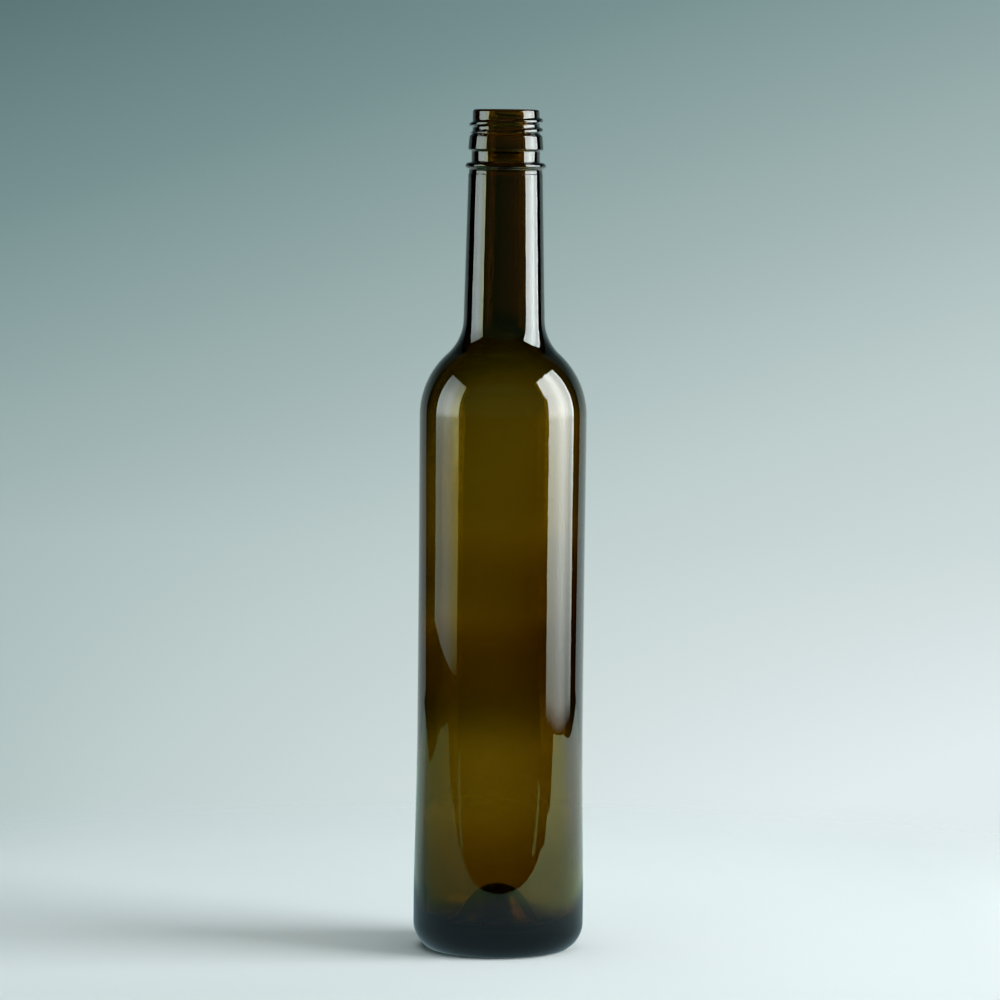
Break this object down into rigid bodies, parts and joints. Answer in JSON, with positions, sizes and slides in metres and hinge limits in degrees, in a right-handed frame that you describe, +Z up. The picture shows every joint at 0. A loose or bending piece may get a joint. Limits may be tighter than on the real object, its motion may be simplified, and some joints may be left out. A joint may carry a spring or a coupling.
{
  "type": "wine bottle",
  "caption": "Slim empty wine bottle of dark olive glass with a round shoulder, long neck, screw finish and a punt pushed up into its foot.",
  "frame": {"origin": "centre of the foot's bearing ring, at the height of what the bottle stands on", "axes": "+Z up the bottle's axis from foot to mouth; -Y towards the viewer, +X to the viewer's right"},
  "size_m": [0.064, 0.0638, 0.3141],
  "materials": {
    "glass": "smooth, glossy, dark olive"
  },
  "bodies": {
    "root": {"bottle": "glass"}
  },
  "joints": []
}
